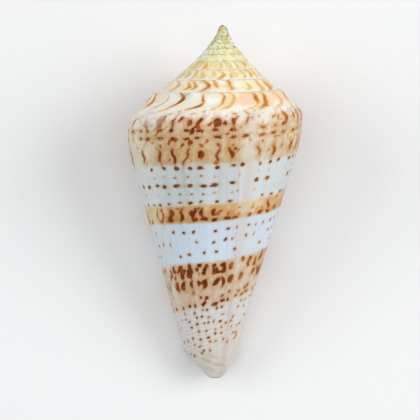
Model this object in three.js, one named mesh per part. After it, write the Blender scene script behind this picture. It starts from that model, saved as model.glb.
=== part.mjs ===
// A cone shell, lying on its mouth side with the spire towards +Y. Millimetres, +Z up.
// A snail lays the shell down along one right-handed coil, so the whole shell is one surface
// swept by growth. A point on it has a growth turn t (0 at the lip, -1 one whorl earlier) and
// a station s down the whorl (0 upper suture, 1 line of the next suture, 2 just below the
// shoulder, 3 end of the straight side, 4 front margin).
import * as THREE from "three";

// Coil: every turn enlarges the shell, and each whorl starts just above the last shoulder.
const LIP_RADIUS = 15.15;
const EXPANSION = 1.307;
const SUTURE = 0.69;
const LIP_AZIMUTH = THREE.MathUtils.degToRad(219);

// Spire: depth below the apex as a function of radius, with a blunt tip.
const SPIRE_SLOPE = 0.738;
const SPIRE_LIFT = 5.26;
const SPIRE_REACH = 3.12;
const APEX_DEPTH = 0.48;
const APEX_ROUND = 0.5;
const SPIRE_TURNS = 10;
const APEX_FADE_TURNS = 0.5;

// Shoulder: how far it drops below the spire's line, and how round it is, early and at the lip.
const SHOULDER_DROP = 0.027;
const ROUND_EARLY = 0.04;
const ROUND_LATE = 0.18;
const RAMP_DROOP = 1.05;
const DROOP_PASSES = 3;

// Maturing: the turn at which the last whorl starts to change, and how long that takes.
const MATURING_TURN = -0.66;
const MATURING_SPAN = 0.6;

// Side: length from shoulder to base at the lip, and the taper of its radius along it.
const SIDE_LENGTH = 40.7;
const SIDE_GROWTH = 1.15;
const SIDE_START = 0.04;
const SIDE_END = 0.8;
const TAPER_TOP = 1.087;
const TAPER = 0.825;
const BELLY_ROUND = 0.063;
const CANAL = 0.294;
const COLUMELLA = 0.2;
const CANAL_ROUND = 0.11;
const CANAL_START = -1.05;
const CANAL_SPAN = 0.4;

// Front margin: a tongue on the back of the canal, cut away towards the lip's corner.
const MARGIN_DEPTH = 52.1;
const TONGUE = 4.4;
const TONGUE_TURN = -0.364;
const TONGUE_SPREAD = 0.18;
const TONGUE_SQUARENESS = 2.8;
const TONGUE_CURL = 0.4;
const CURL_SHARPNESS = 3;
const CORNER = 2.5;
const CORNER_TURN = 0.1;

// Lip line: set back at the ramp (the sinus), forward along the side, in turns.
const SINUS = 0.03;
const LIP_FORWARD = 0.012;

// Mouth: wall thickness, and how far back the open channel runs at the shoulder and the front.
const WALL = 1.0;
const SHOULDER_WALL = 0.4;
const ROOF_STATION = 1.35;
const MOUTH_TURN = 0.9;
const CANAL_TURN = 0.35;
const LIP_CREST = 0.25;

// Resting pose, on the whorl's underside and the front end, which are worn very slightly flat.
const REST_ROLL = THREE.MathUtils.degToRad(3.5);
const REST_PITCH = THREE.MathUtils.degToRad(14.0);
const WORN_FLAT = 0.16;

// Facets: columns per turn, and rows in each stretch from the suture to the front margin.
const COLUMNS = 40;
const RAMP_ROWS = 3;
const SHOULDER_ROWS = 4;
const SIDE_ROWS = 9;
const BASE_ROWS = 6;

const ATTACH_ROW = RAMP_ROWS;
const SIDE_ROW = ATTACH_ROW + SHOULDER_ROWS;
const BASE_ROW = SIDE_ROW + SIDE_ROWS;
const LAST_ROW = BASE_ROW + BASE_ROWS;
const CEILING_ROW = SIDE_ROW - ATTACH_ROW;
const FIRST_COLUMN = -COLUMNS * SPIRE_TURNS;
const MOUTH_COLUMNS = Math.round(COLUMNS * MOUTH_TURN);
const CANAL_COLUMNS = Math.round(COLUMNS * CANAL_TURN);

const { clamp, lerp } = THREE.MathUtils;

function ease(x) {
  const k = clamp(x, 0, 1);
  return k * k * (3 - 2 * k);
}

function smoothMin(a, b, width) {
  const h = clamp(0.5 + (0.5 * (b - a)) / width, 0, 1);
  return lerp(b, a, h) - width * h * (1 - h);
}

function smoothMax(a, b, width) {
  return -smoothMin(-a, -b, width);
}

function shoulderRadius(t) {
  return LIP_RADIUS * EXPANSION ** t;
}

function spireDepth(r) {
  const depth = SPIRE_SLOPE * r + (SPIRE_LIFT * r) / (r + SPIRE_REACH);
  return smoothMax(depth, APEX_DEPTH, APEX_ROUND);
}

// The radius at which the spire's line reaches a depth: the inverse of spireDepth off the tip.
function spireRadius(depth) {
  const b = SPIRE_SLOPE * SPIRE_REACH + SPIRE_LIFT - depth;
  return (Math.sqrt(b * b + 4 * SPIRE_SLOPE * depth * SPIRE_REACH) - b) / (2 * SPIRE_SLOPE);
}

// Radius of the upper suture of the whorl at t, which fades in from the apex.
function sutureRadius(t) {
  return SUTURE * shoulderRadius(t) * ease((t - 1 + SPIRE_TURNS) / APEX_FADE_TURNS);
}

function lateness(t) {
  return ease((t - MATURING_TURN) / MATURING_SPAN);
}

// The last ramp sags as the snail matures.
function rampDroop(t, r) {
  return RAMP_DROOP * lateness(t) * clamp(r / shoulderRadius(t) - SUTURE, 0, 1);
}

function shoulderDepth(t) {
  const r = shoulderRadius(t);
  return spireDepth(r) + SHOULDER_DROP * r;
}

function sideLength(t) {
  return SIDE_LENGTH * SIDE_GROWTH ** t;
}

// Radius down the side as a share of the shoulder radius; w is 0 at the shoulder.
function sideShare(w, t) {
  const canal = lerp(COLUMELLA, CANAL, ease((t - CANAL_START) / CANAL_SPAN));
  const taper = smoothMin(1, TAPER_TOP - TAPER * w, BELLY_ROUND);
  return smoothMax(taper, canal, CANAL_ROUND);
}

function bodyRadius(t, depth) {
  const r = shoulderRadius(t);
  const round = lerp(ROUND_EARLY, ROUND_LATE, lateness(t));
  let ramp = spireRadius(depth);
  for (let pass = 0; pass < DROOP_PASSES; pass += 1) {
    ramp = spireRadius(depth - rampDroop(t, ramp));
  }
  const side = r * sideShare((depth - shoulderDepth(t)) / sideLength(t), t);
  return smoothMin(ramp, side, round * r);
}

function tongueShape(t) {
  return Math.exp(-(Math.abs((t - TONGUE_TURN) / TONGUE_SPREAD) ** TONGUE_SQUARENESS));
}

function marginDepth(t) {
  const corner = clamp(1 + t / CORNER_TURN, 0, 1);
  return MARGIN_DEPTH + TONGUE * tongueShape(t) - CORNER * (1 - Math.sqrt(1 - corner * corner));
}

// Radius and depth of the outer surface at growth turn t and station s.
function profile(t, s) {
  const attach = sutureRadius(t + 1);
  if (s <= 1) {
    const r = lerp(sutureRadius(t), attach, s);
    return { r, depth: spireDepth(r) + (t > -1 ? rampDroop(t, r) : 0) };
  }
  const marks = [
    spireDepth(attach) + (t > -1 ? rampDroop(t, attach) : 0),
    shoulderDepth(t) + SIDE_START * sideLength(t),
    shoulderDepth(t) + SIDE_END * sideLength(t),
    marginDepth(t),
  ];
  const stretch = Math.min(Math.ceil(s) - 2, 2);
  const depth = lerp(marks[stretch], marks[stretch + 1], s - 1 - stretch);
  const curl = TONGUE_CURL * tongueShape(t) * clamp(s - 3, 0, 1) ** CURL_SHARPNESS;
  return { r: bodyRadius(t, depth) * (1 - curl), depth };
}

// How far the growth line lags behind (positive) or leads (negative) at a station, in turns.
function lipLag(s) {
  if (s <= 1) return SINUS * Math.sin(Math.PI * s);
  return -LIP_FORWARD * Math.sin((Math.PI * (s - 1)) / 3);
}

function onCoil(t, r, depth) {
  const azimuth = LIP_AZIMUTH + 2 * Math.PI * t;
  return new THREE.Vector3(r * Math.cos(azimuth), APEX_DEPTH - depth, r * Math.sin(azimuth));
}

function outerPoint(t, s) {
  const turn = t - lipLag(s);
  const { r, depth } = profile(turn, s);
  return onCoil(turn, r, depth);
}

// The inside of the last whorl's wall.
function wallPoint(t, s) {
  const turn = t - lipLag(s);
  const { r, depth } = profile(turn, s);
  const wall = WALL + SHOULDER_WALL * ease(3 - s);
  return onCoil(turn, r - wall, depth + SHOULDER_WALL * ease(3 - s));
}

// The roof of the mouth: from the last whorl's side, out under the shoulder, to the wall.
function ceilingPoint(t, share) {
  const [start, bend, end] = [outerPoint(t - 1, 2), wallPoint(t, ROOF_STATION), wallPoint(t, 2)];
  return new THREE.QuadraticBezierCurve3(start, bend, end).getPoint(share);
}

function station(row) {
  if (row <= ATTACH_ROW) return row / RAMP_ROWS;
  if (row <= SIDE_ROW) return 1 + (row - ATTACH_ROW) / SHOULDER_ROWS;
  if (row <= BASE_ROW) return 2 + (row - SIDE_ROW) / SIDE_ROWS;
  return 3 + (row - BASE_ROW) / BASE_ROWS;
}

// Vertices are shared by name, so surfaces that meet are welded along their seam.
class Skin {
  points = [];
  triangles = [];
  names = new Map();

  vertex(name, makePoint) {
    if (!this.names.has(name)) {
      this.names.set(name, this.points.length);
      this.points.push(makePoint());
    }
    return this.names.get(name);
  }

  face(a, b, c) {
    if (a !== b && b !== c && c !== a) this.triangles.push(a, b, c);
  }

  quad(a, b, c, d) {
    this.face(a, b, c);
    this.face(a, c, d);
  }

  geometry() {
    const body = new THREE.BufferGeometry().setFromPoints(this.points);
    body.setIndex(this.triangles);
    return body;
  }
}

// The outer surface. A whorl's upper suture is the attach line of the whorl before.
function outerVertex(skin, column, row) {
  if (column <= FIRST_COLUMN || (row === 0 && column - COLUMNS <= FIRST_COLUMN)) {
    return skin.vertex("apex", () => onCoil(0, 0, spireDepth(0)));
  }
  if (row === 0) return outerVertex(skin, column - COLUMNS, ATTACH_ROW);
  return skin.vertex(`outer ${column} ${row}`, () => outerPoint(column / COLUMNS, station(row)));
}

// How many columns back from the lip the mouth has closed, for a row.
function closingColumn(row) {
  const share = ease((row - SIDE_ROW) / (LAST_ROW - SIDE_ROW));
  return -Math.round(lerp(MOUTH_COLUMNS, CANAL_COLUMNS, share));
}

function mouthClosed(column, row) {
  return column <= closingColumn(Math.max(row, SIDE_ROW));
}

// The surface inside the mouth, which meets the whorl before where the mouth closes.
function innerVertex(skin, column, row) {
  const opposite = Math.max(row, SIDE_ROW);
  if (row === CEILING_ROW || mouthClosed(column, row)) {
    return outerVertex(skin, column - COLUMNS, row === CEILING_ROW ? SIDE_ROW : opposite);
  }
  return skin.vertex(`inner ${column} ${row}`, () => {
    const t = column / COLUMNS;
    const open = row < SIDE_ROW
      ? ceilingPoint(t, (row - CEILING_ROW) / (SIDE_ROW - CEILING_ROW))
      : wallPoint(t, station(row));
    const closing = (column / closingColumn(opposite)) ** 2;
    return open.lerp(outerPoint(t - 1, station(opposite)), closing);
  });
}

function addSpire(skin) {
  for (let column = FIRST_COLUMN; column < -COLUMNS; column += 1) {
    for (let row = 0; row < ATTACH_ROW; row += 1) addOuterQuad(skin, column, row);
  }
}

function addOuterQuad(skin, column, row) {
  skin.quad(
    outerVertex(skin, column, row),
    outerVertex(skin, column + 1, row),
    outerVertex(skin, column + 1, row + 1),
    outerVertex(skin, column, row + 1),
  );
}

function addLastWhorl(skin) {
  for (let column = -COLUMNS; column < 0; column += 1) {
    for (let row = 0; row < LAST_ROW; row += 1) addOuterQuad(skin, column, row);
  }
}

// The mouth's two faces: the wall's inside, and the whorl before that it looks at.
function addMouth(skin) {
  for (let column = -MOUTH_COLUMNS; column < 0; column += 1) {
    for (let row = CEILING_ROW; row < LAST_ROW; row += 1) {
      const corners = [[column, row], [column + 1, row], [column + 1, row + 1], [column, row + 1]];
      for (const pick of [[0, 1, 2], [0, 2, 3]]) {
        const picked = pick.map((k) => corners[k]);
        if (row >= SIDE_ROW && picked.every(([c, r]) => mouthClosed(c, r))) continue;
        const [a, b, c] = picked.map(([c, r]) => innerVertex(skin, c, r));
        skin.face(a, c, b);
        if (row >= SIDE_ROW) skin.face(...picked.map(([c, r]) => outerVertex(skin, c - COLUMNS, r)));
      }
    }
  }
}

// The edge of the lip, with a rounded crest, from the suture down to the front corner.
function lipInner(skin, row) {
  if (row < CEILING_ROW) return outerVertex(skin, -COLUMNS, ATTACH_ROW + row);
  return innerVertex(skin, 0, row);
}

function crestVertex(skin, name, outer, inner, forward) {
  if (outer === inner) return outer;
  return skin.vertex(name, () => {
    const middle = skin.points[outer].clone().add(skin.points[inner]).multiplyScalar(0.5);
    return middle.addScaledVector(forward, LIP_CREST);
  });
}

function lipCrest(skin, row) {
  const azimuth = LIP_AZIMUTH;
  const forward = new THREE.Vector3(-Math.sin(azimuth), 0, Math.cos(azimuth));
  if (row === LAST_ROW) forward.add(new THREE.Vector3(0, -1, 0)).normalize();
  return crestVertex(skin, `lip ${row}`, outerVertex(skin, 0, row), lipInner(skin, row), forward);
}

function addLip(skin) {
  for (let row = 0; row < LAST_ROW; row += 1) {
    const crest = [lipCrest(skin, row + 1), lipCrest(skin, row)];
    skin.quad(outerVertex(skin, 0, row + 1), outerVertex(skin, 0, row), crest[1], crest[0]);
    skin.quad(crest[0], crest[1], lipInner(skin, row), lipInner(skin, row + 1));
  }
}

// The front edge of the canal, from the columella round to the lip's corner.
function frontCrest(skin, column) {
  if (column === 0) return lipCrest(skin, LAST_ROW);
  const outer = outerVertex(skin, column, LAST_ROW);
  const inner = innerVertex(skin, column, LAST_ROW);
  return crestVertex(skin, `front ${column}`, outer, inner, new THREE.Vector3(0, -1, 0));
}

function addFrontEdge(skin) {
  for (let column = -CANAL_COLUMNS; column < 0; column += 1) {
    const crest = [frontCrest(skin, column), frontCrest(skin, column + 1)];
    const outer = [outerVertex(skin, column, LAST_ROW), outerVertex(skin, column + 1, LAST_ROW)];
    const inner = [innerVertex(skin, column, LAST_ROW), innerVertex(skin, column + 1, LAST_ROW)];
    skin.quad(outer[0], outer[1], crest[1], crest[0]);
    skin.quad(crest[0], crest[1], inner[1], inner[0]);
  }
}

// The blunt front tip closes round the axis.
function addTip(skin) {
  const rim = [];
  for (let column = -COLUMNS - CANAL_COLUMNS; column <= -CANAL_COLUMNS; column += 1) {
    rim.push(outerVertex(skin, column, LAST_ROW));
  }
  rim.push(frontCrest(skin, -CANAL_COLUMNS));
  const middle = skin.vertex("tip", () => {
    const centre = new THREE.Vector3();
    rim.forEach((k) => centre.add(skin.points[k]));
    return centre.divideScalar(rim.length);
  });
  rim.forEach((k, n) => skin.face(k, rim[(n + 1) % rim.length], middle));
}

function buildShellGeometry() {
  const skin = new Skin();
  addSpire(skin);
  addLastWhorl(skin);
  addMouth(skin);
  addLip(skin);
  addFrontEdge(skin);
  addTip(skin);
  return skin.geometry();
}

// Lays the shell down, with the middle of its footprint's box at the origin, and wears its
// underside flat.
function layDown(geometry) {
  geometry.rotateY(REST_ROLL);
  geometry.rotateX(REST_PITCH);
  geometry.computeBoundingBox();
  const { min, max } = geometry.boundingBox;
  geometry.translate(-(min.x + max.x) / 2, -(min.y + max.y) / 2, -min.z - WORN_FLAT);
  const { position } = geometry.attributes;
  for (let k = 0; k < position.count; k += 1) position.setZ(k, Math.max(position.getZ(k), 0));
  return geometry;
}

function buildShell() {
  const cream = new THREE.MeshStandardMaterial({ color: 0xe4d8c2, roughness: 0.35, metalness: 0 });
  const shell = new THREE.Mesh(layDown(buildShellGeometry()), cream);
  shell.name = "shell";
  return shell;
}

const coneShell = new THREE.Group();
coneShell.add(buildShell());

export default coneShell;
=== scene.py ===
"""A cone shell lying on its mouth side: one grown surface, its relief and its markings.

The shell is swept by growth along a right-handed coil. A point on it has a growth turn t (0 at
the lip, -1 one whorl earlier) and a station s down the whorl: 0 upper suture, 1 line of the next
suture, 2 just below the shoulder, 3 end of the straight side, 4 front margin.
The form is worked out in millimetres and handed to Blender in metres.
"""

import math

import bpy
import numpy as np
from mathutils import Matrix, Vector


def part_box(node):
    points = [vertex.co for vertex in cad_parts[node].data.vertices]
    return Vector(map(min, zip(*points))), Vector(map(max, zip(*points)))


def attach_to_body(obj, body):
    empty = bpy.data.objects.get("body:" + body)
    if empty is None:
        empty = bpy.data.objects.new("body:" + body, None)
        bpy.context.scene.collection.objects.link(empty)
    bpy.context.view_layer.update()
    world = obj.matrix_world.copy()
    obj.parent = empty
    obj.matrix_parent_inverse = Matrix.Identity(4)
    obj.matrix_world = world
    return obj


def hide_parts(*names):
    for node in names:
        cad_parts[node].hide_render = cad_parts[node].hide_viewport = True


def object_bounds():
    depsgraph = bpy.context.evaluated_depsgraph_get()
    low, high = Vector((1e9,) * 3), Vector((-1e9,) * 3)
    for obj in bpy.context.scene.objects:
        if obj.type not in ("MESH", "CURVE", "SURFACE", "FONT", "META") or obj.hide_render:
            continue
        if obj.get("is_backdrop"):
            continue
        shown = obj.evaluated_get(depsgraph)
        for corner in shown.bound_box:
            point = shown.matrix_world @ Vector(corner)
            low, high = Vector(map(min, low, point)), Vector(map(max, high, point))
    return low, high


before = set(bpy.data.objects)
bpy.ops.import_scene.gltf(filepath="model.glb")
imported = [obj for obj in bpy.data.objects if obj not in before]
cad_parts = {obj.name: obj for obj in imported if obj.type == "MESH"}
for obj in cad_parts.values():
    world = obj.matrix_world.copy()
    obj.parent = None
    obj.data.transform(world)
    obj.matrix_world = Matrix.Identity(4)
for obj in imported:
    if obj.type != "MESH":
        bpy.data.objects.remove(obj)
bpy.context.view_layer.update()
MM = 0.001

# ---- The shell's form, as in the CAD part -------------------------------------------------

LIP_RADIUS = 15.15
EXPANSION = 1.307
SUTURE = 0.69
LIP_AZIMUTH = math.radians(219)
SPIRE_SLOPE, SPIRE_LIFT, SPIRE_REACH = 0.738, 5.26, 3.12
APEX_DEPTH, APEX_ROUND = 0.48, 0.5
SPIRE_TURNS = 10
APEX_FADE_TURNS = 0.5
SHOULDER_DROP = 0.027
ROUND_EARLY, ROUND_LATE = 0.04, 0.18
RAMP_DROOP, DROOP_PASSES = 1.05, 3
MATURING_TURN, MATURING_SPAN = -0.66, 0.6
SIDE_LENGTH, SIDE_GROWTH = 40.7, 1.15
SIDE_START, SIDE_END = 0.04, 0.8
TAPER_TOP, TAPER, BELLY_ROUND = 1.087, 0.825, 0.063
CANAL, COLUMELLA, CANAL_ROUND = 0.294, 0.2, 0.11
CANAL_START, CANAL_SPAN = -1.05, 0.4
MARGIN_DEPTH = 52.1
TONGUE, TONGUE_TURN, TONGUE_SPREAD, TONGUE_CURL = 4.4, -0.364, 0.18, 0.4
TONGUE_SQUARENESS, CURL_SHARPNESS = 2.8, 3
CORNER, CORNER_TURN = 2.5, 0.1
SINUS, LIP_FORWARD = 0.03, 0.012
WALL, SHOULDER_WALL = 1.0, 0.4
ROOF_STATION = 1.35
CANAL_TURN = 0.35
LIP_CREST = 0.25
REST_ROLL, REST_PITCH = math.radians(3.5), math.radians(14.0)
WORN_FLAT = 0.16

# The fine mesh: columns per turn, closer together over the back, and rows at these stations.
COLUMNS = 220
WIDEST_TURN, STRETCH = -0.9, 0.4
RAMP_ROWS, SHOULDER_ROWS = 9, 8
SIDE_STRETCHES = ((2, 2.8, 96), (2.8, 3, 24), (3, 4, 52))
CREST_ROWS = 3
TIP_RINGS = 5
# Columns whose whole ramp lies within this radius, in millimetres, are the apex itself.
FIRST_RADIUS = 0.04
# Only the first part of the mouth's channel can be seen, so the rest of it is left out.
MOUTH_TURN = 0.36


def mix(a, b, share):
    return a + (b - a) * share


def ease(x):
    x = np.clip(x, 0, 1)
    return x * x * (3 - 2 * x)


def bump(x, middle, width):
    """A bell of height 1 at `middle`."""
    return np.exp(-(((x - middle) / width) ** 2))


def smooth_min(a, b, width):
    h = np.clip(0.5 + 0.5 * (b - a) / width, 0, 1)
    return mix(b, a, h) - width * h * (1 - h)


def smooth_max(a, b, width):
    return -smooth_min(-a, -b, width)


def shoulder_radius(t):
    return LIP_RADIUS * EXPANSION**t


def spire_depth(r):
    depth = SPIRE_SLOPE * r + SPIRE_LIFT * r / (r + SPIRE_REACH)
    return smooth_max(depth, APEX_DEPTH, APEX_ROUND)


def spire_radius(depth):
    b = SPIRE_SLOPE * SPIRE_REACH + SPIRE_LIFT - depth
    return (np.sqrt(b * b + 4 * SPIRE_SLOPE * depth * SPIRE_REACH) - b) / (2 * SPIRE_SLOPE)


def suture_radius(t):
    return SUTURE * shoulder_radius(t) * ease((t - 1 + SPIRE_TURNS) / APEX_FADE_TURNS)


def lateness(t):
    return ease((t - MATURING_TURN) / MATURING_SPAN)


def ramp_droop(t, r):
    droop = RAMP_DROOP * lateness(t) * np.clip(r / shoulder_radius(t) - SUTURE, 0, 1)
    return np.where(t > -1, droop, 0)


def shoulder_depth(t):
    r = shoulder_radius(t)
    return spire_depth(r) + SHOULDER_DROP * r


def side_length(t):
    return SIDE_LENGTH * SIDE_GROWTH**t


def side_share(w, t):
    canal = mix(COLUMELLA, CANAL, ease((t - CANAL_START) / CANAL_SPAN))
    taper = smooth_min(1.0, TAPER_TOP - TAPER * w, BELLY_ROUND)
    return smooth_max(taper, canal, CANAL_ROUND)


def body_radius(t, depth):
    r = shoulder_radius(t)
    ramp = spire_radius(depth)
    for _ in range(DROOP_PASSES):
        ramp = spire_radius(depth - ramp_droop(t, ramp))
    side = r * side_share((depth - shoulder_depth(t)) / side_length(t), t)
    return smooth_min(ramp, side, mix(ROUND_EARLY, ROUND_LATE, lateness(t)) * r)


def tongue_shape(t):
    return np.exp(-(np.abs((t - TONGUE_TURN) / TONGUE_SPREAD) ** TONGUE_SQUARENESS))


def margin_depth(t):
    corner = np.clip(1 + t / CORNER_TURN, 0, 1)
    return MARGIN_DEPTH + TONGUE * tongue_shape(t) - CORNER * (1 - np.sqrt(1 - corner**2))


def profile(t, s):
    """Radius and depth of the plain outer surface."""
    t, s = np.broadcast_arrays(np.asarray(t, float), np.asarray(s, float))
    attach = suture_radius(t + 1)
    ramp = mix(suture_radius(t), attach, np.clip(s, 0, 1))
    marks = [
        spire_depth(attach) + ramp_droop(t, attach),
        shoulder_depth(t) + SIDE_START * side_length(t),
        shoulder_depth(t) + SIDE_END * side_length(t),
        margin_depth(t),
    ]
    depth = marks[0]
    for k in range(3):
        depth = depth + (marks[k + 1] - marks[k]) * np.clip(s - 1 - k, 0, 1)
    on_ramp = s <= 1
    curl = TONGUE_CURL * tongue_shape(t) * np.clip(s - 3, 0, 1) ** CURL_SHARPNESS
    body = body_radius(t, depth) * (1 - curl)
    radius = np.where(on_ramp, ramp, body)
    return radius, np.where(on_ramp, spire_depth(ramp) + ramp_droop(t, ramp), depth)


def lip_lag(s):
    """How far a growth line lags behind at a station, in turns."""
    return np.where(
        s <= 1,
        SINUS * np.sin(np.pi * np.clip(s, 0, 1)),
        -LIP_FORWARD * np.sin(np.pi * np.clip(s - 1, 0, 3) / 3),
    )


def on_coil(t, radius, depth):
    azimuth = LIP_AZIMUTH + 2 * np.pi * t
    return np.stack([radius * np.cos(azimuth), APEX_DEPTH - depth, radius * np.sin(azimuth)], -1)


def outer_points(t, s):
    turn = t - lip_lag(s)
    return on_coil(turn, *profile(turn, s))


def wall_points(t, s):
    turn = t - lip_lag(s)
    radius, depth = profile(turn, s)
    inset = SHOULDER_WALL * ease(3 - s)
    return on_coil(turn, radius - WALL - inset, depth + inset)


def side_position(t, s):
    """Share of the way down the side, from 0 at the shoulder to 1 at the front end."""
    turn = t - lip_lag(s)
    return (profile(turn, s)[1] - shoulder_depth(turn)) / side_length(turn)


# ---- The mesh -----------------------------------------------------------------------------

def turn_of(column):
    """Growth turn of a column; columns stand closest together half a turn from WIDEST_TURN."""
    even = np.asarray(column) / COLUMNS
    swing = np.sin(2 * np.pi * (even - WIDEST_TURN)) - math.sin(-2 * math.pi * WIDEST_TURN)
    return even + STRETCH * swing / (2 * np.pi)


STATIONS = np.concatenate([
    np.linspace(0, 1, RAMP_ROWS, endpoint=False),
    np.linspace(1, 2, SHOULDER_ROWS, endpoint=False),
    *[np.linspace(first, last, rows, endpoint=False) for first, last, rows in SIDE_STRETCHES],
    [4.0],
])
ATTACH_ROW = RAMP_ROWS
SIDE_ROW = ATTACH_ROW + SHOULDER_ROWS
LAST_ROW = len(STATIONS) - 1
CEILING_ROW = SIDE_ROW - ATTACH_ROW
FIRST_COLUMN = -COLUMNS * SPIRE_TURNS
COLUMN_TURNS = turn_of(np.arange(FIRST_COLUMN, 1))
MOUTH_COLUMNS = int(np.sum(COLUMN_TURNS > -MOUTH_TURN))
CANAL_COLUMNS = int(np.sum(COLUMN_TURNS > -CANAL_TURN))


class Skin:
    """Points and triangles; every triangle corner also keeps its growth turn and station."""

    def __init__(self):
        self.points = []
        self.count = 0
        self.triangles = []
        self.corners = []

    def add_points(self, points):
        points = np.asarray(points, float).reshape(-1, 3)
        self.points.append(points)
        first = self.count
        self.count += len(points)
        return np.arange(first, self.count)

    def add_triangles(self, corners, coordinates):
        """corners: (n, 3) vertex numbers; coordinates: (n, 3, 3) growth, station, region."""
        a, b, c = corners.T
        good = (a != b) & (b != c) & (c != a)
        self.triangles.append(corners[good])
        self.corners.append(coordinates[good])

    def add_grid(self, index, growth, station, region, flip=False, keep=None):
        """Triangles over a grid of vertex numbers; keep marks the vertices that are open."""
        def cells(values):
            return values[:-1, :-1], values[1:, :-1], values[1:, 1:], values[:-1, 1:]

        places = [np.broadcast_to(v, index.shape) for v in (growth, station, region)]
        quads = [v.ravel() for v in cells(index)]
        fields = [np.stack(cells(place), -1).reshape(-1, 4) for place in places]
        opened = None if keep is None else [v.ravel() for v in cells(keep)]
        for pick in ((0, 1, 2), (0, 2, 3)):
            order = pick[::-1] if flip else pick
            corners = np.stack([quads[k] for k in order], -1)
            coordinates = np.stack([field[:, order] for field in fields], -1)
            if opened is not None:
                some = opened[pick[0]] | opened[pick[1]] | opened[pick[2]]
                corners, coordinates = corners[some], coordinates[some]
            self.add_triangles(corners, coordinates)


# Regions of the surface, kept per corner so that the material can tell them apart.
OUTSIDE, INSIDE, RIM = 0, 1, 2


# ---- The fine relief, in millimetres ------------------------------------------------------

# How far each whorl stands proud of the one before, how much less it does on the spire, and
# how hollow and lumpy the ramps are.
STEP_HEIGHT, OLD_STEP = 0.4, 0.38
RAMP_HOLLOW, RAMP_LUMPS = 0.1, 0.07
WORN_GRAIN = 0.018
TIP_BEAD, TIP_BEAD_RADIUS = 0.17, 0.5
SWELLING, SHOULDER_SWELLING = 0.025, 0.07
CORD_PITCH, CORD_HEIGHT = 0.62, 0.02
CALLUS_TURN, CALLUS_PLACE, CALLUS_SPREAD, CALLUS_HEIGHT = -0.212, 0.006, 0.024, 0.3
# Grooves where growth had rested: growth turn and depth; and their width, in turns.
GROWTH_RESTS = ((-0.42, 0.05), (-0.152, 0.05), (-0.127, 0.05), (-0.71, 0.06), (-0.86, 0.05))
REST_WIDTH = 0.004
NOTCH_TURN, NOTCH_PLACE, NOTCH_SLANT, NOTCH_DEPTH = -0.34, 1.008, 0.45, 0.05
# Brownish lines along that old notch: offset along the side, width and strength.
NOTCH_LINES = ((-0.028, 0.006, 0.35), (0.0, 0.006, 0.6), (0.03, 0.009, 0.3))
# The bands drift down the side with growth, by these shares a turn before and after this turn.
DRIFT_TURN, DRIFT_BEFORE, DRIFT_AFTER = -0.36, 0.13, 0.02


def drift(turn):
    """How far the bands wander down the side with growth, as a share of the side."""
    before = turn - DRIFT_TURN
    return np.where(before < 0, DRIFT_BEFORE, DRIFT_AFTER) * before


def relief(t, s, position):
    """Height of the fine relief over the plain outer surface, in millimetres."""
    turn = t - lip_lag(s)
    size = shoulder_radius(t) / LIP_RADIUS
    in_ramp = np.clip(s, 0, 1)
    # Each whorl stands a little proud of the one before, and its ramp is faintly hollow.
    step = STEP_HEIGHT * size * ease(in_ramp / 0.1) * (1 - ease((in_ramp - 0.1) / 0.9))
    step = step * (1 + 0.3 * np.sin(41 * t) * np.sin(67 * t + 1)) * mix(OLD_STEP, 1, ease((t + 1.2) / 0.2))
    hollow = -RAMP_HOLLOW * size * np.sin(np.pi * in_ramp) ** 2
    lumps = RAMP_LUMPS * size * np.sin(83 * t + 5 * s) * np.sin(9 * s - 37 * t) * np.sin(np.pi * in_ramp)
    height = np.where(s <= 1, step + hollow + lumps, 0.0)
    # The oldest whorls are worn rough.
    grain = np.random.default_rng(3).normal(0, 1, np.broadcast(t, s).shape)
    height = height + WORN_GRAIN * np.clip(grain, -2, 2) * ease((-3.5 - t) / 2) * (s > 0)
    # The blunt tip of the spire is the shell of the hatchling.
    radius = profile(turn, s)[0]
    height = height + TIP_BEAD * bump(radius, TIP_BEAD_RADIUS, 0.3) * (s <= 1)
    # Slow swellings of growth, stronger on the shoulder.
    waves = np.sin(2 * np.pi * t * 9 + 1.3) + 0.6 * np.sin(2 * np.pi * t * 23 + 0.4)
    height = height + SWELLING * size * waves * np.where(s > 1, ease((s - 1) * 2), 0)
    height = height + SHOULDER_SWELLING * bump(s, 1.6, 0.25) * np.sin(2 * np.pi * t * 13) * size * (t > -1)
    # Low spiral cords over the front third.
    cords = np.cos(2 * np.pi * (position - drift(turn)) * side_length(t) / CORD_PITCH)
    height = height + CORD_HEIGHT * cords * ease((position - 0.68) / 0.2) * ease((1.0 - position) / 0.08)
    # A healed chip raised a lump of callus on the shoulder.
    lump = bump(turn, CALLUS_TURN, CALLUS_SPREAD) * bump(position, CALLUS_PLACE, CALLUS_SPREAD) * (s > 1)
    height = height + CALLUS_HEIGHT * ease(lump * 1.6)
    for rest, depth in GROWTH_RESTS:
        height = height - depth * bump(t, rest, REST_WIDTH) * np.where(s > 1, 1, 0.3)
    # The growth line of an old front notch crosses the tip aslant.
    notch = position - NOTCH_PLACE + NOTCH_SLANT * (turn - NOTCH_TURN)
    height = height - NOTCH_DEPTH * bump(notch, 0, 0.008) * bump(turn, NOTCH_TURN, 0.09) * (s > 3)
    return height


def grid_normals(points):
    along = np.gradient(points, axis=0)
    down = np.gradient(points, axis=1)
    normal = np.cross(along, down)
    length = np.linalg.norm(normal, axis=-1, keepdims=True)
    return normal / np.maximum(length, 1e-9)


def raised_outer(columns, rows):
    """Outer surface points with relief, for whole ranges of columns and rows."""
    t = turn_of(columns)[:, None]
    s = STATIONS[rows][None]
    points = outer_points(t, s)
    height = relief(t, s, side_position(t, s))
    return points + grid_normals(points) * height[..., None]


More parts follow.
